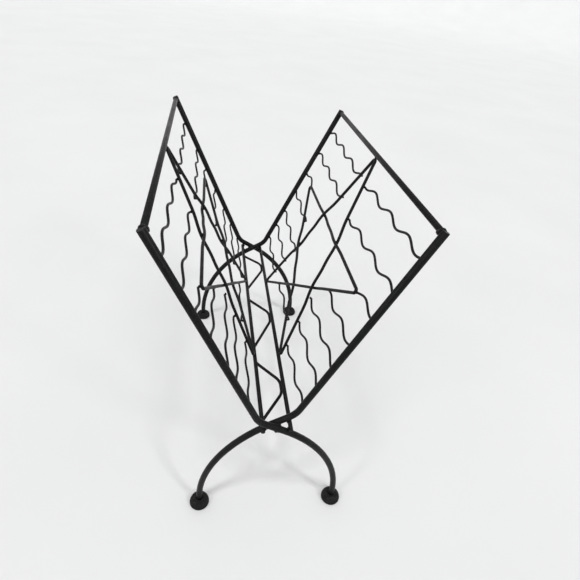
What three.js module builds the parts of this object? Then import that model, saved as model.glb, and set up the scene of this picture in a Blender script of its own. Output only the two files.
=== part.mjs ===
// A free-standing wire rack for magazines and newspapers, welded from bent steel rod.
// Two crossed end frames stand on rubber feet and carry two side panels that lean outwards.
// Each panel holds a five-pointed star of bent wire and rows of wavy wire.
//
// Millimetres. +X is right, +Y is from front to back and +Z is up. The origin is on the floor,
// under the middle of the rack. side is -1 for left and +1 for right; end is -1 for front and
// +1 for back.

import * as THREE from "three";

// Stock, as radii.
const CROSS_ROD_R = 4;
const TOP_RAIL_R = 3.175;
const BOTTOM_RAIL_R = 2.6;
const STAR_WIRE_R = 2;
const FLOOR_ROD_R = 2;
const WAVY_WIRE_R = 1.4;
const WELD_GAP = 0.4; // left between two pieces where they are welded

// End frames. Each has two rods side by side, one for each upright.
const FRAME_SPACING = 400; // from the middle of one end frame to the middle of the other
const ROD_SPACING = 2 * CROSS_ROD_R + WELD_GAP;
const CORNER = { x: 127.2, z: 416.7 }; // where an upright's axis meets its top rail's axis
const UPRIGHT_TIP = 3; // how far an upright runs on above its top rail's axis
const BEND = { x: 22.2, z: 175.8, radius: 28 }; // foot of the upright, beside the crossing
const CROSSING_Z = 163;
const LEG_X = 90;
const LEG_RADIUS = 168; // of the long curve from the crossing down to the foot

// Rails.
const BOTTOM_RAIL = { x: 16.3, z: 161.8 };

// Feet.
const FOOT_R = 12.8;
const FOOT_PAD_TOP = 7.6;
const FOOT_COLLAR_TOP = 13;
const SOCKET_FLOOR = 3; // rubber left under the end of the leg

// Floor rod, a zigzag under the two bottom rails. It runs straight along under a rail between
// each pair of places in y, and crosses to the other rail after each of them.
const FLOOR_BEND_RADIUS = 20;
const FLOOR_UNDER_RAIL = [
  { x: -16.3, from: 188, to: 178 },
  { x: 13.6, from: 150, to: 130 },
  { x: -16.3, from: 73, to: 47 },
  { x: 13.6, from: 13, to: -8 },
  { x: -16.3, from: -66, to: -92 },
  { x: 13.6, from: -127, to: -148 },
];
const FLOOR_END = { x: -16.3, y: -190 };

// Wavy wires. Heights are measured up the panel from the bottom rail's axis.
const WAVE_AMPLITUDE = 3.4;
const WAVE_LENGTH = 53;
const WIRE_RISE = 4; // from the star up to the upright
const WIRE_SHORT = 3.8; // how far short of the upright's axis a wire's outer end stops
const WIRE_SHORT_OF_STAR = 1; // how far short of the star strand's axis its inner end stops

// The rows of each half panel, from the bottom: the height of each wire's inner end, and the y
// of one of its crests. The wires are cut anywhere along their wave and placed by eye, so no two
// halves are quite alike.
const HALF_PANELS = {
  right_front: { heights: [21, 55, 88, 122, 165, 199, 243], crests: [36, 44, 50, 12, 2, 42, 10] },
  right_back: { heights: [25, 55, 85, 126, 166, 203, 242], crests: [26, 20, 24, 46, 6, 20, 16] },
  left_front: { heights: [27, 64, 94, 133, 170, 202, 242], crests: [36, 26, 0, 28, 26, 12, 8] },
  left_back: { heights: [14, 47, 80, 122, 161, 190, 236], crests: [50, 32, 30, 12, 20, 38, 30] },
};
const NOTCH_ROW = { height: 31, crest: 8 };

// Star.
const STAR_BEND_RADIUS = 3; // of the wire's axis, at each point
const STAR_WEAVE = 2.3; // how far each strand steps aside where it crosses another
const STAR_WEAVE_REACH = 16;
const ARM_DROP = { left: 0, right: 6 }; // how far the arms' tips sit below a regular star's

// Facets round each.
const FACETS = { crossRod: 10, rail: 12, star: 8, floorRod: 8, wavyWire: 6, foot: 20 };

const blackPaint = new THREE.MeshStandardMaterial({
  name: "black_paint",
  color: 0x1c1d20,
  metalness: 0.3,
  roughness: 0.42,
});
const blackRubber = new THREE.MeshStandardMaterial({
  name: "black_rubber",
  color: 0x17171a,
  metalness: 0,
  roughness: 0.9,
});

const rack = new THREE.Group();
rack.name = "magazine_rack";

const sideName = (side) => (side < 0 ? "left" : "right");
const endName = (end) => (end < 0 ? "front" : "back");
const point = (x, y, z) => new THREE.Vector3(x, y, z);
const UP = point(0, 0, 1);
const AWAY = point(0, 1, 0);

function add(name, geometry, material) {
  const mesh = new THREE.Mesh(geometry, material);
  mesh.name = name;
  rack.add(mesh);
}

// A rod's centreline, swept station by station. Each station faces halfway between the
// stretches on its two sides, and one facet's edge always points along level.
class Centreline extends THREE.Curve {
  constructor(stations, level) {
    super();
    this.stations = stations;
    this.level = level;
  }

  getSpacedPoints() {
    return this.stations;
  }

  computeFrenetFrames() {
    const last = this.stations.length - 1;
    const stretch = (from) =>
      this.stations[from + 1].clone().sub(this.stations[from]).normalize();
    const tangents = this.stations.map((_, i) => {
      const [before, after] = [Math.max(i - 1, 0), Math.min(i, last - 1)];
      return stretch(before).add(stretch(after)).normalize();
    });
    const binormals = tangents.map((t) => this.level.clone().projectOnPlane(t).normalize());
    const normals = tangents.map((t, i) => binormals[i].clone().cross(t));
    return { tangents, normals, binormals };
  }
}

// A round rod along the stations, with flat cut ends. Its facets enclose the true circle's area.
function rod(stations, radius, facets, level) {
  const turn = (2 * Math.PI) / facets;
  const facetRadius = radius * Math.sqrt(turn / Math.sin(turn));
  const section = new THREE.Shape();
  for (let i = 0; i < facets; i++) {
    const [x, y] = [facetRadius * Math.cos(i * turn), facetRadius * Math.sin(i * turn)];
    if (i === 0) section.moveTo(x, y);
    else section.lineTo(x, y);
  }
  section.closePath();
  return new THREE.ExtrudeGeometry(section, {
    steps: stations.length - 1,
    extrudePath: new Centreline(stations, level),
  });
}

// The stations of a bend of the given radius at corner, between the stretches to before and after.
function bend(before, corner, after, radius, steps) {
  const back = before.clone().sub(corner).normalize();
  const on = after.clone().sub(corner).normalize();
  const half = back.angleTo(on) / 2;
  const start = corner.clone().addScaledVector(back, radius / Math.tan(half));
  const middle = back.clone().add(on).normalize();
  const centre = corner.clone().addScaledVector(middle, radius / Math.sin(half));
  const out = start.clone().sub(centre);
  const along = back.clone().multiplyScalar(-radius);
  const turned = Math.PI - 2 * half;
  return Array.from({ length: steps + 1 }, (_, i) => {
    const angle = (turned * i) / steps;
    return centre
      .clone()
      .addScaledVector(out, Math.cos(angle))
      .addScaledVector(along, Math.sin(angle));
  });
}

// The left rods are the outer ones of both end frames, and the right rods the inner ones.
const rodPlane = (side, end) => (end * (FRAME_SPACING - side * ROD_SPACING)) / 2;

// The side panels. A panel's plane holds its uprights' axes and its rails' axes. Places on it
// are given by the height up the panel, y, and the distance out from the plane.
const PANEL_RISE = Math.hypot(CORNER.x - BOTTOM_RAIL.x, CORNER.z - BOTTOM_RAIL.z);
const PANEL_UP = {
  x: (CORNER.x - BOTTOM_RAIL.x) / PANEL_RISE,
  z: (CORNER.z - BOTTOM_RAIL.z) / PANEL_RISE,
};

function onPanel(side, height, y, out) {
  const x = BOTTOM_RAIL.x + PANEL_UP.x * height + PANEL_UP.z * out;
  return point(side * x, y, BOTTOM_RAIL.z + PANEL_UP.z * height - PANEL_UP.x * out);
}

const outOf = (side) => point(side * PANEL_UP.z, 0, -PANEL_UP.x);

// Cross rods: from the upright's tip down to the bend, through the crossing, and down in one
// long curve into the foot on the other side.
function crossRod(side, end) {
  const y = rodPlane(side, end);
  const tip = point(
    side * (CORNER.x + PANEL_UP.x * UPRIGHT_TIP),
    y,
    CORNER.z + PANEL_UP.z * UPRIGHT_TIP,
  );
  const slope = (BEND.z - CROSSING_Z) / BEND.x;
  const elbow = point(side * BEND.x, y, BEND.z);
  const knee = point(-side * LEG_X, y, CROSSING_Z - slope * LEG_X);
  const toe = point(-side * LEG_X, y, SOCKET_FLOOR + WELD_GAP);
  const stations = [
    tip,
    ...bend(tip, elbow, knee, BEND.radius, 5),
    ...bend(elbow, knee, toe, LEG_RADIUS, 10),
    toe,
  ];
  add(
    `cross_rod_${sideName(side)}_${endName(end)}`,
    rod(stations, CROSS_ROD_R, FACETS.crossRod, AWAY),
    blackPaint,
  );
}

// Feet: a rubber pad with a collar round the leg, and a blind socket for the leg's end.
function foot(side, end) {
  const socketR = CROSS_ROD_R + WELD_GAP;
  const profile = [
    [0, 0],
    [FOOT_R - 1.6, 0],
    [FOOT_R - 0.4, 0.9],
    [FOOT_R, 2.4],
    [FOOT_R, FOOT_PAD_TOP - 2.2],
    [FOOT_R - 0.7, FOOT_PAD_TOP - 0.7],
    [FOOT_R - 2.2, FOOT_PAD_TOP],
    [socketR + 3.4, FOOT_PAD_TOP + 0.5],
    [socketR + 1.6, FOOT_COLLAR_TOP - 0.6],
    [socketR + 1, FOOT_COLLAR_TOP],
    [socketR, FOOT_COLLAR_TOP],
    [socketR, SOCKET_FLOOR],
    [0, SOCKET_FLOOR],
  ].map(([r, z]) => new THREE.Vector2(r, z));
  const geometry = new THREE.LatheGeometry(profile, FACETS.foot);
  geometry.rotateX(Math.PI / 2);
  // The foot on one side carries the rod whose upright is on the other side.
  geometry.translate(side * LEG_X, rodPlane(-side, end), 0);
  add(`foot_${sideName(side)}_${endName(end)}`, geometry, blackRubber);
}

// A top rail butts against the inner faces of its two uprights.
function topRail(side) {
  const reach = rodPlane(side, 1) - CROSS_ROD_R - WELD_GAP;
  const ends = [-reach, reach].map((y) => point(side * CORNER.x, y, CORNER.z));
  add(`top_rail_${sideName(side)}`, rod(ends, TOP_RAIL_R, FACETS.rail, UP), blackPaint);
}

// A bottom rail lies in the crook between the two rods of each end frame. It is cut off flush
// with the outer rods.
function bottomRail(side) {
  const reach = rodPlane(-1, 1) + CROSS_ROD_R;
  const ends = [-reach, reach].map((y) => point(side * BOTTOM_RAIL.x, y, BOTTOM_RAIL.z));
  const name = `bottom_rail_${sideName(side)}`;
  add(name, rod(ends, BOTTOM_RAIL_R, FACETS.rail, UP), blackPaint);
}

// The floor rod zigzags from the left bottom rail's back end to its front end.
function floorRod() {
  const z = BOTTOM_RAIL.z - BOTTOM_RAIL_R - WELD_GAP - FLOOR_ROD_R;
  const corners = FLOOR_UNDER_RAIL.flatMap(({ x, from, to }) =>
    [from, to].map((y) => point(x, y, z)),
  );
  corners.push(point(FLOOR_END.x, FLOOR_END.y, z));
  const last = corners.length - 1;
  const stations = [corners[0]];
  for (let i = 1; i < last; i++)
    stations.push(...bend(corners[i - 1], corners[i], corners[i + 1], FLOOR_BEND_RADIUS, 3));
  stations.push(corners[last]);
  add("floor_rod", rod(stations, FLOOR_ROD_R, FACETS.floorRod, UP), blackPaint);
}

// The star's wire lies in the panel's plane. Its top point rests against the top rail and its
// two lower points against the bottom rail, which sets how large the star is.
const POINT_HALF_ANGLE = Math.PI / 10;
const LOWER_POINT_DROP = (3 * Math.PI) / 10; // a lower point's direction, below horizontal
const CORNER_TO_BEND = STAR_BEND_RADIUS / Math.sin(POINT_HALF_ANGLE);
const clearOf = (railR) => railR + STAR_WIRE_R + WELD_GAP;
const STAR_TOP = PANEL_RISE - clearOf(TOP_RAIL_R) + CORNER_TO_BEND - STAR_BEND_RADIUS;
const STAR_BOTTOM =
  clearOf(BOTTOM_RAIL_R) + STAR_BEND_RADIUS - CORNER_TO_BEND * Math.sin(LOWER_POINT_DROP);
const STAR_RADIUS = (STAR_TOP - STAR_BOTTOM) / (1 + Math.cos(Math.PI / 5));
const STAR_CENTRE = STAR_TOP - STAR_RADIUS;

// A star's corner, before it is rounded, as a height and a y. Corner 0 is the top one, and
// corners 1 and 4 are the tips of the arms.
function starCorner(side, index) {
  const angle = (index * 2 * Math.PI) / 5;
  const isArm = Math.abs(Math.sin(angle)) > Math.sin(Math.PI / 3);
  const drop = isArm ? ARM_DROP[sideName(side)] : 0;
  return {
    height: STAR_CENTRE + STAR_RADIUS * Math.cos(angle) - drop,
    y: STAR_RADIUS * Math.sin(angle),
  };
}

// Where the line from a to b crosses the line from c to d, as a share of the way from a to b.
function crossing(a, b, c, d) {
  const [ab, cd, ac] = [b.clone().sub(a), d.clone().sub(c), c.clone().sub(a)];
  const turned = ab.cross(cd);
  return ac.cross(cd).dot(turned) / turned.lengthSq();
}

// One bent wire, corner by corner, which starts and ends in the middle of the level strand.
// Each strand steps in towards the papers at its first crossing and out at its second.
function star(side) {
  const flat = (index) => {
    const { height, y } = starCorner(side, index);
    return point(0, y, height);
  };
  const weave = (from, corner, crossedAt, out) =>
    [-1, -0.5, 0, 0.5, 1].map((step) => {
      const along = crossedAt + (step * STAR_WEAVE_REACH) / from.distanceTo(corner);
      const lean = STAR_WEAVE * Math.cos((step * Math.PI) / 2) ** 2;
      return from.clone().lerp(corner, along).setX(out * lean);
    });
  // Both strands that meet at a corner are crossed by the strand between the corners beside it.
  const cornerStations = (index) => {
    const [before, corner, after] = [index - 2, index, index + 2].map(flat);
    const across = [flat(index - 1), flat(index + 1)];
    return [
      ...weave(before, corner, crossing(before, corner, ...across), 1),
      ...bend(before, corner, after, STAR_BEND_RADIUS, 5),
      ...weave(after, corner, crossing(after, corner, ...across), -1).reverse(),
    ];
  };
  const seam = (y) => point(0, y, starCorner(side, 1).height);
  const flatStations = [
    seam(WELD_GAP / 2),
    ...[1, 3, 5, 7, 9].flatMap(cornerStations),
    seam(-WELD_GAP / 2),
  ];
  const stations = flatStations.map((p) => onPanel(side, p.z, p.y, p.x));
  const name = `star_${sideName(side)}`;
  add(name, rod(stations, STAR_WIRE_R, FACETS.star, outOf(side)), blackPaint);
}

// Where the strand from one corner to another passes a given height.
const strandAt = (height, from, to) =>
  THREE.MathUtils.mapLinear(height, from.height, to.height, from.y, to.y);

// Where a wire at a given height meets the star's outline, as a distance from the panel's middle.
function starEdge(side, height) {
  const [top, arm, foot, farFoot] = [0, 1, 2, 3].map((index) => starCorner(side, index));
  const steep = strandAt(height, top, foot);
  if (height > arm.height + 2 * STAR_WIRE_R) return steep;
  const armTip = arm.y - CORNER_TO_BEND + STAR_BEND_RADIUS;
  return Math.max(steep, Math.min(strandAt(height, arm, farFoot), armTip));
}

// Half the width of the notch between the star's two lower points at a given height.
const notchEdge = (side, height) =>
  -strandAt(height, starCorner(side, 1), starCorner(side, 3));

// A wavy wire from the y of its inner end to the y of its outer end. It waves in a plane just
// outside the star, and climbs by rise on the way to its outer end.
const WAVY_OUT = STAR_WIRE_R + WELD_GAP + WAVY_WIRE_R;

function wavyWire(name, side, { height, inner, outer, crest, rise }) {
  const steps = Math.ceil((6 * Math.abs(outer - inner)) / WAVE_LENGTH);
  const stations = Array.from({ length: steps + 1 }, (_, i) => {
    const y = THREE.MathUtils.lerp(inner, outer, i / steps);
    const wave = WAVE_AMPLITUDE * Math.cos((2 * Math.PI * (y - crest)) / WAVE_LENGTH);
    return onPanel(side, height + (rise * i) / steps + wave, y, WAVY_OUT);
  });
  add(name, rod(stations, WAVY_WIRE_R, FACETS.wavyWire, outOf(side)), blackPaint);
}

// The rows of one panel: a front and a back half of each, and the short wire in the notch.
function wavyRows(side) {
  const outer = rodPlane(side, 1) - WIRE_SHORT;
  for (const end of [-1, 1]) {
    const half = `${sideName(side)}_${endName(end)}`;
    const { heights, crests } = HALF_PANELS[half];
    heights.forEach((height, i) => {
      wavyWire(`wavy_wire_${half}_${i + 1}`, side, {
        height,
        inner: end * (starEdge(side, height) + WIRE_SHORT_OF_STAR),
        outer: end * outer,
        crest: crests[i],
        rise: WIRE_RISE,
      });
    });
  }
  const half = notchEdge(side, NOTCH_ROW.height) - WIRE_SHORT_OF_STAR;
  wavyWire(`wavy_wire_${sideName(side)}_notch`, side, {
    ...NOTCH_ROW,
    inner: -half,
    outer: half,
    rise: 0,
  });
}

for (const side of [-1, 1]) {
  for (const end of [-1, 1]) {
    crossRod(side, end);
    foot(side, end);
  }
  topRail(side);
  bottomRail(side);
  star(side);
  wavyRows(side);
}
floorRod();

export default rack;
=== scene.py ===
"""A wire magazine rack of bent and welded black rod, standing on rubber feet.

Every rod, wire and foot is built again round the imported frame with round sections, true bends
and cut ends, and the welds between them are added. Lengths are in metres: +X is right, +Y runs
from front to back and +Z is up. A side is "left" or "right", and an end is "front" or "back".
"""

import math

import bmesh
import bpy
from mathutils import Euler, Matrix, Vector, noise


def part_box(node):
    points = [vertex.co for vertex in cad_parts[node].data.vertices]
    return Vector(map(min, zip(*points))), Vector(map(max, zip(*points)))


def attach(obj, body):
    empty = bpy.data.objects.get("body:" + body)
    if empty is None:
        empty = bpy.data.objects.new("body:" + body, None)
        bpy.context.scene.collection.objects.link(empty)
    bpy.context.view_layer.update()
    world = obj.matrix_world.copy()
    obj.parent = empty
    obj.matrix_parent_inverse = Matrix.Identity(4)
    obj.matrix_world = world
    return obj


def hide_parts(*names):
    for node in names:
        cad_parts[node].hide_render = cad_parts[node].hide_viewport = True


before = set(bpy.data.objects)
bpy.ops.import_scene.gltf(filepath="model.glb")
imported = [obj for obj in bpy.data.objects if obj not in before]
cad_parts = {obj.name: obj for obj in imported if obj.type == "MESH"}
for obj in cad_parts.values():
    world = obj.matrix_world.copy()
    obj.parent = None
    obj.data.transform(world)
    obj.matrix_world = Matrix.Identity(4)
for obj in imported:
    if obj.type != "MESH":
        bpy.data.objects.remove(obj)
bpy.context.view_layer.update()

MM = 0.001
SIGN = {"left": -1, "right": 1, "front": -1, "back": 1}
SIDES = ("left", "right")
ENDS = ("front", "back")
AWAY = Vector((0, 1, 0))
UP = Vector((0, 0, 1))

# Stock, as radii.
CROSS_ROD_R = 4 * MM
TOP_RAIL_R = 3.175 * MM
BOTTOM_RAIL_R = 2.6 * MM
STAR_WIRE_R = 2 * MM
FLOOR_ROD_R = 2 * MM
WAVY_WIRE_R = 1.4 * MM
WELD_GAP = 0.4 * MM

# End frames.
UPRIGHT_TIP = 3 * MM
BEND = Vector((22.2, 175.8)) * MM
BEND_RADIUS = 28 * MM
CROSSING_Z = 163 * MM
LEG_RADIUS = 168 * MM
ROD_SLOPE = (BEND.y - CROSSING_Z) / BEND.x  # of each rod, from its bend down to the crossing

# Floor rod, in millimetres: the stretches where it runs along under a rail, as an x and two ys.
FLOOR_BEND_RADIUS = 20 * MM
FLOOR_UNDER_RAIL = (
    (-16.3, 188, 178),
    (13.6, 150, 130),
    (-16.3, 73, 47),
    (13.6, 13, -8),
    (-16.3, -66, -92),
    (13.6, -127, -148),
)
FLOOR_END = (-16.3, -190)

# Wavy wires, in millimetres: the height of each row's inner end and the y of one of its crests.
WAVE_AMPLITUDE = 3.4 * MM
WAVE_LENGTH = 53 * MM
WIRE_RISE = 4 * MM
HALF_PANELS = {
    "right_front": ((21, 55, 88, 122, 165, 199, 243), (36, 44, 50, 12, 2, 42, 10)),
    "right_back": ((25, 55, 85, 126, 166, 203, 242), (26, 20, 24, 46, 6, 20, 16)),
    "left_front": ((27, 64, 94, 133, 170, 202, 242), (36, 26, 0, 28, 26, 12, 8)),
    "left_back": ((14, 47, 80, 122, 161, 190, 236), (50, 32, 30, 12, 20, 38, 30)),
}
NOTCH_ROW = (31 * MM, 8 * MM)

# Stars.
STAR_BEND_RADIUS = 3 * MM
STAR_WEAVE = 2.3 * MM
STAR_WEAVE_REACH = 32 * MM
ARM_DROP = {"left": 0, "right": 6 * MM}

# How finely the round pieces are cut up.
ROD_SIDES = 24
WIRE_SIDES = 12
BEND_STEP = math.radians(4)
WAVE_STEP = WAVE_LENGTH / 24
WEAVE_STEPS = 6  # on each side of a crossing of the star
FOOT_SEGMENTS = 64
CUT_CHAMFER = 0.35 * MM


# ---- Places that come from the frame -------------------------------------------------------

def centre_of(node):
    low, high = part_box(node)
    return (low + high) / 2


CORNER = centre_of("top_rail_right")
BOTTOM_RAIL = centre_of("bottom_rail_right")
ROD_PLANE = {
    f"{side}_{end}": centre_of(f"cross_rod_{side}_{end}").y for side in SIDES for end in ENDS
}
PANEL_RISE = math.hypot(CORNER.x - BOTTOM_RAIL.x, CORNER.z - BOTTOM_RAIL.z)
PANEL_UP = Vector((CORNER.x - BOTTOM_RAIL.x, 0, CORNER.z - BOTTOM_RAIL.z)) / PANEL_RISE


def on_panel(side, height, y, out=0.0):
    """A place on a side panel: height up it from the bottom rail, y, and distance outwards."""
    x = BOTTOM_RAIL.x + PANEL_UP.x * height + PANEL_UP.z * out
    z = BOTTOM_RAIL.z + PANEL_UP.z * height - PANEL_UP.x * out
    return Vector((SIGN[side] * x, y, z))


def out_of(side):
    return Vector((SIGN[side] * PANEL_UP.z, 0, -PANEL_UP.x))


def up_panel(side):
    return Vector((SIGN[side] * PANEL_UP.x, 0, PANEL_UP.z))


# ---- Rods and wires ------------------------------------------------------------------------

def bend(before, corner, after, radius):
    """The points of a bend of the given radius where the wire turns at corner."""
    back = (before - corner).normalized()
    on = (after - corner).normalized()
    half = back.angle(on) / 2
    start = corner + back * (radius / math.tan(half))
    centre = corner + (back + on).normalized() * (radius / math.sin(half))
    turned = math.pi - 2 * half
    steps = max(3, math.ceil(turned / BEND_STEP))
    angles = [turned * i / steps for i in range(steps + 1)]
    return [centre + (start - centre) * math.cos(a) - back * radius * math.sin(a) for a in angles]


def bent_line(corners, radius):
    """The points of a wire that runs straight between corners and bends at each of them."""
    points = [corners[0]]
    for before, corner, after in zip(corners, corners[1:], corners[2:]):
        points += bend(before, corner, after, radius)
    return points + [corners[-1]]


def sweep(name, points, radius, sides, level, closed=False):
    """A round rod along the points. Open ends are cut square, with a small chamfer."""
    count = len(points)
    strides = [(points[(i + 1) % count] - points[i]).normalized() for i in range(count)]
    if closed:
        tangents = [(strides[i - 1] + strides[i]).normalized() for i in range(count)]
    else:
        middle = [(strides[i - 1] + strides[i]).normalized() for i in range(1, count - 1)]
        tangents = [strides[0], *middle, strides[-2]]
    rings = [(points[i], tangents[i], radius) for i in range(count)]
    if not closed:
        first, last = rings[0], rings[-1]
        rings[0] = (first[0] + first[1] * CUT_CHAMFER, first[1], radius)
        rings[-1] = (last[0] - last[1] * CUT_CHAMFER, last[1], radius)
        rings.insert(0, (first[0], first[1], radius - CUT_CHAMFER))
        rings.append((last[0], last[1], radius - CUT_CHAMFER))
    vertices = []
    for point, tangent, ring_radius in rings:
        across = (level - tangent * level.dot(tangent)).normalized()
        other = across.cross(tangent)
        for k in range(sides):
            angle = 2 * math.pi * k / sides
            vertices.append(
                point + (other * math.cos(angle) + across * math.sin(angle)) * ring_radius
            )
    faces = []
    for i in range(len(rings) if closed else len(rings) - 1):
        here, there = i * sides, (i + 1) % len(rings) * sides
        for k in range(sides):
            nxt = (k + 1) % sides
            faces.append((here + k, here + nxt, there + nxt, there + k))
    sides_only = len(faces)
    if not closed:
        faces.append(tuple(range(sides - 1, -1, -1)))
        faces.append(tuple(range(len(vertices) - sides, len(vertices))))
    mesh = bpy.data.meshes.new(name)
    mesh.from_pydata([tuple(v) for v in vertices], [], faces)
    for polygon in mesh.polygons:
        polygon.use_smooth = polygon.index < sides_only
    return mesh


def face_outwards(mesh):
    """Turns the faces of a closed mesh so that they all point out."""
    shape = bmesh.new()
    shape.from_mesh(mesh)
    bmesh.ops.recalc_face_normals(shape, faces=shape.faces)
    shape.to_mesh(mesh)
    shape.free()


def add_piece(name, mesh, material, replaces=()):
    face_outwards(mesh)
    piece = bpy.data.objects.new(name, mesh)
    bpy.context.scene.collection.objects.link(piece)
    piece.data.materials.append(material)
    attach(piece, "root")
    if replaces:
        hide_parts(*replaces)
    return piece


def add_rod(node, points, radius, sides, level, material, closed=False):
    mesh = sweep(f"{node}_mesh", points, radius, sides, level, closed)
    add_piece(f"{node}_round", mesh, material, [node])


# ---- End frames, rails and floor rod -------------------------------------------------------

def cross_rod(side, end, material):
    """One rod of an end frame: upright, bend, crossing, and the long curve into the foot."""
    s = SIGN[side]
    y = ROD_PLANE[f"{side}_{end}"]
    foot_side = "left" if side == "right" else "right"
    leg_x = centre_of(f"foot_{foot_side}_{end}").x
    low_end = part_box(f"cross_rod_{side}_{end}")[0].z
    tip = on_panel(side, PANEL_RISE + UPRIGHT_TIP, y)
    elbow = Vector((s * BEND.x, y, BEND.y))
    knee = Vector((leg_x, y, CROSSING_Z - ROD_SLOPE * abs(leg_x)))
    toe = Vector((leg_x, y, low_end))
    upper = bend(tip, elbow, knee, BEND_RADIUS)
    lower = bend(elbow, knee, toe, LEG_RADIUS)
    points = [tip, *upper, *lower, toe]
    add_rod(f"cross_rod_{side}_{end}", points, CROSS_ROD_R, ROD_SIDES, AWAY, material)


def rail(node, radius, material):
    low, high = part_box(node)
    x, z = (low.x + high.x) / 2, (low.z + high.z) / 2
    add_rod(node, [Vector((x, low.y, z)), Vector((x, high.y, z))], radius, ROD_SIDES, UP, material)


def floor_rod_corners():
    z = centre_of("floor_rod").z
    places = [(x, y) for x, start, stop in FLOOR_UNDER_RAIL for y in (start, stop)]
    return [Vector((x * MM, y * MM, z)) for x, y in [*places, FLOOR_END]]


# ---- Stars ---------------------------------------------------------------------------------

POINT_HALF_ANGLE = math.pi / 10
CORNER_TO_BEND = STAR_BEND_RADIUS / math.sin(POINT_HALF_ANGLE)
STAR_TOP = (
    PANEL_RISE - TOP_RAIL_R - STAR_WIRE_R - WELD_GAP + CORNER_TO_BEND - STAR_BEND_RADIUS
)
STAR_BOTTOM = (
    BOTTOM_RAIL_R + STAR_WIRE_R + WELD_GAP
    + STAR_BEND_RADIUS - CORNER_TO_BEND * math.sin(3 * math.pi / 10)
)
STAR_RADIUS = (STAR_TOP - STAR_BOTTOM) / (1 + math.cos(math.pi / 5))
STAR_CENTRE = STAR_TOP - STAR_RADIUS


def star_corner(side, index):
    """A corner before it is rounded, as (height, y). 0 is the top; 1 and 4 are the arms."""
    angle = index * 2 * math.pi / 5
    drop = ARM_DROP[side] if index % 5 in (1, 4) else 0
    return STAR_CENTRE + STAR_RADIUS * math.cos(angle) - drop, STAR_RADIUS * math.sin(angle)


def crossing(a, b, c, d):
    """Where the line from a to b crosses the line from c to d, as a share of the way to b."""
    turned = (b - a).cross(d - c)
    return (c - a).cross(d - c).dot(turned) / turned.length_squared


def star_points(side):
    """The star's bent wire. Each strand steps in at its first crossing and out at its second."""
    def flat(index):
        height, y = star_corner(side, index)
        return Vector((0, y, height))

    def weave(start, corner, crossed_at, out):
        steps = [i / WEAVE_STEPS for i in range(-WEAVE_STEPS, WEAVE_STEPS + 1)]
        length = (corner - start).length
        points = [start.lerp(corner, crossed_at + s * STAR_WEAVE_REACH / length) for s in steps]
        for point, s in zip(points, steps):
            point.x = out * STAR_WEAVE * math.cos(s * math.pi / 2) ** 2
        return points

    points = []
    for index in (1, 3, 5, 7, 9):
        before, corner, after = flat(index - 2), flat(index), flat(index + 2)
        across = flat(index - 1), flat(index + 1)
        points += weave(before, corner, crossing(before, corner, *across), 1)
        points += bend(before, corner, after, STAR_BEND_RADIUS)
        points += weave(after, corner, crossing(after, corner, *across), -1)[::-1]
    return [on_panel(side, p.z, p.y, p.x) for p in points]


# ---- Wavy wires ----------------------------------------------------------------------------

WAVY_OUT = STAR_WIRE_R + WELD_GAP + WAVY_WIRE_R


class WavyWire:
    """One wire. It waves in a plane just outside the star, and climbs towards its outer end."""

    def __init__(self, side, height, inner, outer, crest, rise):
        self.side, self.height, self.inner, self.outer = side, height, inner, outer
        self.crest, self.rise = crest, rise

    def at(self, y, out=WAVY_OUT):
        way = (y - self.inner) / (self.outer - self.inner)
        wave = WAVE_AMPLITUDE * math.cos(2 * math.pi * (y - self.crest) / WAVE_LENGTH)
        return on_panel(self.side, self.height + self.rise * way + wave, y, out)

    def points(self):
        steps = math.ceil(abs(self.outer - self.inner) / WAVE_STEP)
        share = [i / steps for i in range(steps + 1)]
        return [self.at(self.inner + (self.outer - self.inner) * s) for s in share]


def wavy_wires():
    """Every wavy wire, by its node's name."""
    wires = {}
    for half, (heights, crests) in HALF_PANELS.items():
        side, end = half.split("_")
        for row, (height, crest) in enumerate(zip(heights, crests), 1):
            name = f"wavy_wire_{half}_{row}"
            low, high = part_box(name)
            inner, outer = (high.y, low.y) if end == "front" else (low.y, high.y)
            wires[name] = WavyWire(side, height * MM, inner, outer, crest * MM, WIRE_RISE)
    height, crest = NOTCH_ROW
    for side in SIDES:
        low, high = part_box(f"wavy_wire_{side}_notch")
        wires[f"wavy_wire_{side}_notch"] = WavyWire(side, height, low.y, high.y, crest, 0)
    return wires


# ---- Feet ----------------------------------------------------------------------------------

def arc(centre, radii, start, stop, steps):
    """Points of an arc in a profile, angles in degrees from the +r direction."""
    angles = [math.radians(start + (stop - start) * i / steps) for i in range(steps + 1)]
    (r, z), (wide, high) = centre, radii
    return [(r + wide * math.cos(a), z + high * math.sin(a)) for a in angles]


def foot_profile():
    """A foot's section in millimetres, as (radius, height), from the axis under the foot round
    to the axis at the bottom of the leg's socket: a ringed edge, a low dome and a rolled lip."""
    socket = (CROSS_ROD_R + 0.15 * MM) / MM
    return [
        (0, 0),
        (8.4, 0),
        (8.8, 0.5),
        (9.6, 0.5),
        (10.0, 0),
        *arc((11.4, 1.4), (1.4, 1.4), -90, 0, 6),
        *arc((12.3, 2.7), (0.5, 0.6), 0, 90, 5),
        (11.9, 3.4),
        *arc((5.4, 3.8), (6.9, 6.0), 0, 90, 14),
        *arc((socket + 0.6, 10.0), (0.6, 0.6), 60, 180, 5),
        (socket, 3.1),
        (0, 3.1),
    ]


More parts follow.
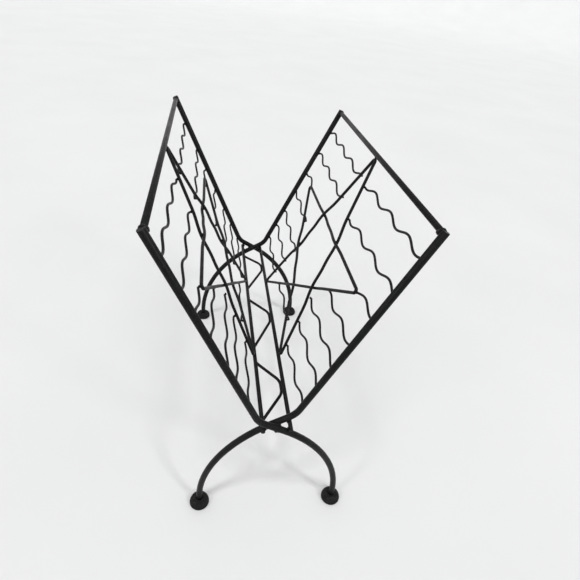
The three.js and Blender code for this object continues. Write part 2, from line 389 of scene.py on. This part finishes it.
def foot(side, end, material):
    node = f"foot_{side}_{end}"
    centre = centre_of(node)
    profile = foot_profile()
    shape = bmesh.new()
    rings = []
    for r, z in profile:
        if r == 0:
            rings.append([shape.verts.new((centre.x, centre.y, z * MM))])
            continue
        turns = [2 * math.pi * k / FOOT_SEGMENTS for k in range(FOOT_SEGMENTS)]
        rings.append([
            shape.verts.new(
                (centre.x + r * MM * math.cos(a), centre.y + r * MM * math.sin(a), z * MM)
            )
            for a in turns
        ])
    for lower, upper in zip(rings, rings[1:]):
        for k in range(FOOT_SEGMENTS):
            nxt = (k + 1) % FOOT_SEGMENTS
            corners = [lower[k % len(lower)], lower[nxt % len(lower)],
                       upper[nxt % len(upper)], upper[k % len(upper)]]
            shape.faces.new(list(dict.fromkeys(corners)))
    mesh = bpy.data.meshes.new(f"{node}_mesh")
    shape.to_mesh(mesh)
    shape.free()
    for polygon in mesh.polygons:
        polygon.use_smooth = True
    add_piece(f"{node}_moulded", mesh, material, [node])


# ---- Welds ---------------------------------------------------------------------------------

# The lumps along the outer rod at a crossing, in millimetres: x, how far below the rod's axis,
# and half size.
CROSSING_LUMPS = ((-1.0, 2.8, 2.9), (1.6, 2.8, 2.2), (-3.2, 3.2, 1.7), (3.8, 3.0, 1.5))
BEADS_ROUND_RAIL = 9


class Welds:
    """Lumps of weld metal, gathered into one piece."""

    def __init__(self, name):
        self.name = name
        self.shape = bmesh.new()
        self.count = 0

    def bead(self, place, along, normal, length, width, height):
        """One lump, centred on place: its half sizes along, across and out of the joint."""
        along = (along - normal * along.dot(normal)).normalized()
        across = normal.cross(along)
        turn = Matrix((along, across, normal)).transposed()
        lump = bmesh.ops.create_icosphere(self.shape, subdivisions=3, radius=1)
        self.count += 1
        seed = Vector((self.count * 7.31, self.count * 3.17, self.count * 1.93))
        for vertex in lump["verts"]:
            p = vertex.co.copy()
            rough = 1 + 0.2 * noise.noise(p * 1.4 + seed) + 0.07 * noise.noise(p * 4.1 + seed)
            sized = Vector((p.x * length, p.y * width, p.z * height)) * rough
            vertex.co = place + turn @ sized

    def finish(self, material):
        mesh = bpy.data.meshes.new(f"{self.name}_mesh")
        self.shape.to_mesh(mesh)
        self.shape.free()
        for polygon in mesh.polygons:
            polygon.use_smooth = True
        add_piece(self.name, mesh, material)


def frame_welds(end, material):
    """The welds of one end frame: the crossing, the bottom rails and the top rails."""
    welds = Welds(f"welds_{end}_frame")
    e = SIGN[end]
    middle = (ROD_PLANE[f"left_{end}"] + ROD_PLANE[f"right_{end}"]) / 2
    joint = Vector((0, middle, CROSSING_Z))
    welds.bead(joint, Vector((1, 0, 0)), AWAY, 6.0 * MM, 3.4 * MM, 2.6 * MM)
    outer_rod = ROD_PLANE[f"left_{end}"]
    for x, below, size in CROSSING_LUMPS:
        z = CROSSING_Z - x * MM * ROD_SLOPE - below * MM
        place = Vector((x * MM, outer_rod + e * 1.2 * MM, z))
        welds.bead(place, Vector((1, 0, -0.5)), AWAY, size * MM, 0.8 * size * MM, size * MM)
    slope = math.atan(ROD_SLOPE)
    for side in SIDES:
        for rod_side in SIDES:
            above = 1 if rod_side == side else -1
            normal = Vector((-SIGN[side] * math.sin(slope), 0, above * math.cos(slope)))
            rail_axis = Vector((SIGN[side] * BOTTOM_RAIL.x, ROD_PLANE[f"{rod_side}_{end}"],
                                BOTTOM_RAIL.z))
            contact = rail_axis + normal * (BOTTOM_RAIL_R + WELD_GAP / 2)
            welds.bead(contact, AWAY, normal, 3.6 * MM, 2.9 * MM, 1.7 * MM)
        inner_face = ROD_PLANE[f"{side}_{end}"] - e * (CROSS_ROD_R + 0.3 * MM)
        for i in range(BEADS_ROUND_RAIL):
            angle = 2 * math.pi * i / BEADS_ROUND_RAIL + 0.3
            spoke = Vector((math.cos(angle), 0, math.sin(angle)))
            axis = Vector((SIGN[side] * CORNER.x, inner_face, CORNER.z))
            place = axis + spoke * (TOP_RAIL_R + 0.15 * MM)
            welds.bead(place, spoke.cross(AWAY), spoke, 1.6 * MM, 1.5 * MM, 0.95 * MM)
        inward = Vector((-SIGN[side] * PANEL_UP.z, 0, PANEL_UP.x))
        fillet = Vector((SIGN[side] * CORNER.x, inner_face - e * 1.2 * MM, CORNER.z))
        welds.bead(fillet + inward * 2.6 * MM - up_panel(side) * 1.6 * MM, AWAY, inward,
                   3.2 * MM, 2.6 * MM, 1.5 * MM)
    welds.finish(material)


def panel_welds(side, wires, material):
    """The welds of one side panel: the star's tips and crossings, and the wires' ends."""
    welds = Welds(f"welds_{side}_panel")
    out = out_of(side)
    rise = up_panel(side)
    welds.bead(on_panel(side, PANEL_RISE - TOP_RAIL_R, 0), AWAY, rise,
               3.2 * MM, 1.9 * MM, 1.3 * MM)
    for index in (2, 3):
        height, y = star_corner(side, index)
        centre = Vector((STAR_CENTRE, 0))
        tip = Vector((height, y))
        bend_centre = tip + (centre - tip).normalized() * CORNER_TO_BEND
        place = on_panel(side, BOTTOM_RAIL_R, bend_centre.y)
        welds.bead(place, AWAY, rise, 3.4 * MM, 1.8 * MM, 1.3 * MM)
    for index in range(5):
        a, b = star_corner(side, index - 1), star_corner(side, index + 1)
        c, d = star_corner(side, index - 2), star_corner(side, index)
        a, b, c, d = (Vector((0, y, height)) for height, y in (a, b, c, d))
        place = a.lerp(b, crossing(a, b, c, d))
        welds.bead(on_panel(side, place.z, place.y), AWAY, out, 1.8 * MM, 1.6 * MM, 1.2 * MM)
    for name, wire in wires.items():
        if wire.side == side:
            wire_end_welds(welds, wire, name.endswith("_notch"))
    welds.finish(material)


def wire_end_welds(welds, wire, is_notch):
    """A spot of weld where a wire lies on the star, and where it meets its upright."""
    out = out_of(wire.side)
    for end, other in ((wire.inner, wire.outer), (wire.outer, wire.inner)):
        along = wire.at(end + 1 * MM) - wire.at(end - 1 * MM)
        back = math.copysign(1, other - end)
        if is_notch or end == wire.inner:
            place = wire.at(end, STAR_WIRE_R + 0.3 * MM)
            welds.bead(place, along, out, 1.6 * MM, 1.7 * MM, 1.2 * MM)
        else:
            place = wire.at(end - back * 0.7 * MM, WAVY_OUT - 0.6 * MM)
            welds.bead(place, along, out, 2.4 * MM, 2.0 * MM, 1.5 * MM)


def floor_welds(corners, material):
    """The welds between the floor rod and the bottom rails."""
    welds = Welds("welds_floor_rod")
    z = BOTTOM_RAIL.z - BOTTOM_RAIL_R - WELD_GAP / 2
    for start, stop in zip(corners[0:-1:2], corners[1:-1:2]):
        middle = (start + stop) / 2
        welds.bead(Vector((middle.x, middle.y, z)), AWAY, UP, 3.6 * MM, 1.9 * MM, 1.0 * MM)
    end = corners[-1]
    welds.bead(Vector((end.x, end.y + 2.5 * MM, z)), AWAY, UP, 3.0 * MM, 1.9 * MM, 1.1 * MM)
    welds.finish(material)


# ---- Materials -----------------------------------------------------------------------------

# The lighter grey laid on the paint's upward faces: partly dust, partly a painted sheen of
# overhead light.
PAINT_DUST_AND_SHEEN = (0.2, 0.2, 0.19)
BARE_STEEL = (0.11, 0.105, 0.1)
RUBBER_DUST = (0.16, 0.155, 0.145)
SCUFFED_RUBBER = (0.07, 0.068, 0.065)
FLOOR_COLOURS = ((0.83, 0.835, 0.84), (0.86, 0.865, 0.87))
WALL_TOP_COLOUR = (0.77, 0.77, 0.765)


class Nodes:
    """Builds one material's nodes. Every texture is laid out in the object's own metres."""

    def __init__(self, name):
        self.material = bpy.data.materials.new(name)
        self.material.use_nodes = True
        self.tree = self.material.node_tree
        self.shader = self.tree.nodes["Principled BSDF"]
        self.place = self.tree.nodes.new("ShaderNodeTexCoord").outputs["Object"]

    def link(self, source, target):
        self.tree.links.new(source, target)

    def noise(self, scale, detail=2, roughness=0.5, stretch=None):
        node = self.tree.nodes.new("ShaderNodeTexNoise")
        node.inputs["Scale"].default_value = scale
        node.inputs["Detail"].default_value = detail
        node.inputs["Roughness"].default_value = roughness
        place = self.place
        if stretch:
            mapping = self.tree.nodes.new("ShaderNodeMapping")
            mapping.inputs["Scale"].default_value = stretch
            self.link(place, mapping.inputs["Vector"])
            place = mapping.outputs["Vector"]
        self.link(place, node.inputs["Vector"])
        return node.outputs["Fac"]

    def between(self, value, low, high, to_low, to_high):
        node = self.tree.nodes.new("ShaderNodeMapRange")
        node.inputs["From Min"].default_value = low
        node.inputs["From Max"].default_value = high
        node.inputs["To Min"].default_value = to_low
        node.inputs["To Max"].default_value = to_high
        self.link(value, node.inputs["Value"])
        return node.outputs["Result"]

    def times(self, a, b):
        node = self.tree.nodes.new("ShaderNodeMath")
        node.operation = "MULTIPLY"
        self.link(a, node.inputs[0])
        self.link(b, node.inputs[1])
        return node.outputs["Value"]

    def mix(self, share, a, b):
        node = self.tree.nodes.new("ShaderNodeMix")
        node.data_type = "RGBA"
        self.link(share, node.inputs["Factor"])
        for socket, colour in ((node.inputs["A"], a), (node.inputs["B"], b)):
            if isinstance(colour, tuple):
                socket.default_value = (*colour, 1)
            else:
                self.link(colour, socket)
        return node.outputs["Result"]

    def up(self):
        """The height above the floor, in metres."""
        split = self.tree.nodes.new("ShaderNodeSeparateXYZ")
        self.link(self.place, split.inputs["Vector"])
        return split.outputs["Z"]

    def facing_up(self, low, high):
        """1 where the surface faces up, 0 where it doesn't."""
        split = self.tree.nodes.new("ShaderNodeSeparateXYZ")
        geometry = self.tree.nodes.new("ShaderNodeNewGeometry")
        self.link(geometry.outputs["Normal"], split.inputs["Vector"])
        return self.between(split.outputs["Z"], low, high, 0, 1)

    def bump(self, height, depth, below=None):
        node = self.tree.nodes.new("ShaderNodeBump")
        node.inputs["Strength"].default_value = 1
        node.inputs["Distance"].default_value = depth
        self.link(height, node.inputs["Height"])
        if below:
            self.link(below, node.inputs["Normal"])
        return node.outputs["Normal"]


def paint(name, dark, light):
    """Satin paint: uneven gloss, orange peel, a little dust and painted sheen lightening its
    upward faces, and a few rubbed specks.
    """
    m = Nodes(name)
    patches = m.noise(45, 4)
    colour = m.mix(m.between(patches, 0.35, 0.65, 0, 1), dark, light)
    # Lighter grey on upward faces: partly dust, partly a painted sheen for the tops' reflection of
    # overhead light.
    dust_and_sheen_share = m.times(m.facing_up(0.2, 1), m.between(m.noise(160, 5, 0.7), 0.4, 0.7, 0, 0.06))
    colour = m.mix(dust_and_sheen_share, colour, PAINT_DUST_AND_SHEEN)
    specks = m.between(m.noise(420, 3), 0.71, 0.74, 0, 0.6)
    colour = m.mix(specks, colour, BARE_STEEL)
    m.link(colour, m.shader.inputs["Base Color"])
    m.link(m.between(m.noise(80, 5, 0.6), 0.3, 0.7, 0.34, 0.5), m.shader.inputs["Roughness"])
    m.shader.inputs["Specular IOR Level"].default_value = 0.17
    waves = m.bump(m.noise(170, 2), 0.12 * MM)
    m.link(m.bump(m.noise(1100, 3), 0.05 * MM, waves), m.shader.inputs["Normal"])
    return m.material


def rubber(name):
    """Moulded rubber: matt, finely grained, with scuffs and dust."""
    m = Nodes(name)
    colour = m.mix(m.between(m.noise(90, 4), 0.35, 0.65, 0, 1), (0.006, 0.006, 0.0065),
                   (0.012, 0.012, 0.012))
    dust = m.times(m.facing_up(0.1, 1), m.between(m.noise(300, 6, 0.7), 0.45, 0.75, 0, 0.16))
    colour = m.mix(dust, colour, RUBBER_DUST)
    scuffs = m.between(m.noise(240, 5, 0.6, (1, 1, 5)), 0.62, 0.72, 0, 0.25)
    colour = m.mix(scuffs, colour, SCUFFED_RUBBER)
    m.link(colour, m.shader.inputs["Base Color"])
    m.link(m.between(m.noise(200, 4), 0.3, 0.7, 0.62, 0.85), m.shader.inputs["Roughness"])
    m.shader.inputs["Specular IOR Level"].default_value = 0.15
    m.link(m.bump(m.noise(2200, 3, 0.7), 0.06 * MM), m.shader.inputs["Normal"])
    return m.material


def table_top():
    """The pale floor, which darkens towards the top of the far wall."""
    m = Nodes("pale_floor")
    colour = m.mix(m.between(m.noise(2.5, 4), 0.3, 0.7, 0, 1), *FLOOR_COLOURS)
    height_share = m.between(m.up(), WALL_FADE_FROM, COVE_TOP, 0, 1)
    colour = m.mix(height_share, colour, WALL_TOP_COLOUR)
    m.link(colour, m.shader.inputs["Base Color"])
    m.link(m.between(m.noise(9, 4), 0.3, 0.7, 0.5, 0.6), m.shader.inputs["Roughness"])
    m.shader.inputs["Specular IOR Level"].default_value = 0.2
    return m.material


# ---- The rack ------------------------------------------------------------------------------

def build_rack():
    black_paint = paint("satin_black", (0.0022, 0.0024, 0.0027), (0.0042, 0.0045, 0.005))
    black_rubber = rubber("moulded_rubber")
    for side in SIDES:
        for end in ENDS:
            cross_rod(side, end, black_paint)
            foot(side, end, black_rubber)
        rail(f"top_rail_{side}", TOP_RAIL_R, black_paint)
        rail(f"bottom_rail_{side}", BOTTOM_RAIL_R, black_paint)
        add_rod(f"star_{side}", star_points(side), STAR_WIRE_R, WIRE_SIDES, out_of(side),
                black_paint, closed=True)
    corners = floor_rod_corners()
    add_rod("floor_rod", bent_line(corners, FLOOR_BEND_RADIUS), FLOOR_ROD_R, WIRE_SIDES, UP,
            black_paint)
    wires = wavy_wires()
    for node, wire in wires.items():
        add_rod(node, wire.points(), WAVY_WIRE_R, WIRE_SIDES, out_of(wire.side), black_paint)
    for end in ENDS:
        frame_welds(end, black_paint)
    for side in SIDES:
        panel_welds(side, wires, black_paint)
    floor_welds(corners, black_paint)


# ---- Floor, light and camera ---------------------------------------------------------------

FLOOR_RADIUS = 8
COVE_RADIUS = 3
COVE_TOP = 4.8
WALL_FADE_FROM = 1.2
COVE_STEPS = 24
FLOOR_SEGMENTS = 96
CAMERA_PLACE = Vector((-0.076, -0.512, 0.5895))
CAMERA_HEADING = math.radians(12.73)
CAMERA_LOOKS_DOWN = math.radians(35.83)
CAMERA_ROLL = math.radians(7.64)
CAMERA_LENS = 27.23
SKY_COLOUR = (1, 0.998, 0.992)
SKY_STRENGTH = 0.64

# Lamps: name, compass bearing, height, strength and spread, as soft_sun takes them.
SUNS = (
    ("key", 138, 38, 0.66, 9),
    ("fill", 236, 35, 0.4, 10),
    ("overhead", 210, 76, 0.6, 7),
)


def floor():
    """A wide pale floor that curves up into a far wall all round."""
    cove = [math.pi / 2 * i / COVE_STEPS for i in range(COVE_STEPS + 1)]
    profile = [(0.5, 0), (2, 0)]
    profile += [
        (FLOOR_RADIUS + COVE_RADIUS * math.sin(a), COVE_RADIUS * (1 - math.cos(a))) for a in cove
    ]
    profile.append((FLOOR_RADIUS + COVE_RADIUS, COVE_TOP))
    turns = [2 * math.pi * k / FLOOR_SEGMENTS for k in range(FLOOR_SEGMENTS)]
    vertices = [(r * math.cos(a), r * math.sin(a), z) for r, z in profile for a in turns]
    faces = [tuple(range(FLOOR_SEGMENTS))]
    for ring in range(len(profile) - 1):
        near, far = ring * FLOOR_SEGMENTS, (ring + 1) * FLOOR_SEGMENTS
        for k in range(FLOOR_SEGMENTS):
            nxt = (k + 1) % FLOOR_SEGMENTS
            faces.append((near + k, far + k, far + nxt, near + nxt))
    mesh = bpy.data.meshes.new("floor_mesh")
    mesh.from_pydata(vertices, [], faces)
    for polygon in mesh.polygons:
        polygon.use_smooth = True
    plane = bpy.data.objects.new("floor", mesh)
    bpy.context.scene.collection.objects.link(plane)
    mesh.materials.append(table_top())


def soft_sun(name, compass, height, strength, spread):
    """A distant soft lamp. It stands at the compass bearing, from +Y towards +X, and at a height
    above the horizon, and looks spread wide: all in degrees."""
    light = bpy.data.lights.new(name, "SUN")
    light.energy = strength
    light.angle = math.radians(spread)
    lamp = bpy.data.objects.new(name, light)
    turn, lift = math.radians(compass), math.radians(height)
    lamp.location = Vector((
        math.sin(turn) * math.cos(lift), math.cos(turn) * math.cos(lift), math.sin(lift)
    ))
    lamp.rotation_euler = lamp.location.to_track_quat("Z", "Y").to_euler()
    bpy.context.scene.collection.objects.link(lamp)


def studio():
    world = bpy.data.worlds.new("pale_studio")
    world.use_nodes = True
    background = world.node_tree.nodes["Background"]
    background.inputs["Color"].default_value = (*SKY_COLOUR, 1)
    background.inputs["Strength"].default_value = SKY_STRENGTH
    bpy.context.scene.world = world
    bpy.context.scene.view_settings.view_transform = "Standard"
    for sun in SUNS:
        soft_sun(*sun)


def camera():
    data = bpy.data.cameras.new("camera")
    data.lens = CAMERA_LENS
    eye = bpy.data.objects.new("camera", data)
    turn = Euler((math.pi / 2 - CAMERA_LOOKS_DOWN, 0, -CAMERA_HEADING)).to_matrix()
    roll = Matrix.Rotation(CAMERA_ROLL, 3, "Z")
    eye.matrix_world = Matrix.Translation(CAMERA_PLACE) @ (turn @ roll).to_4x4()
    bpy.context.scene.collection.objects.link(eye)
    bpy.context.scene.camera = eye


build_rack()
floor()
studio()
camera()
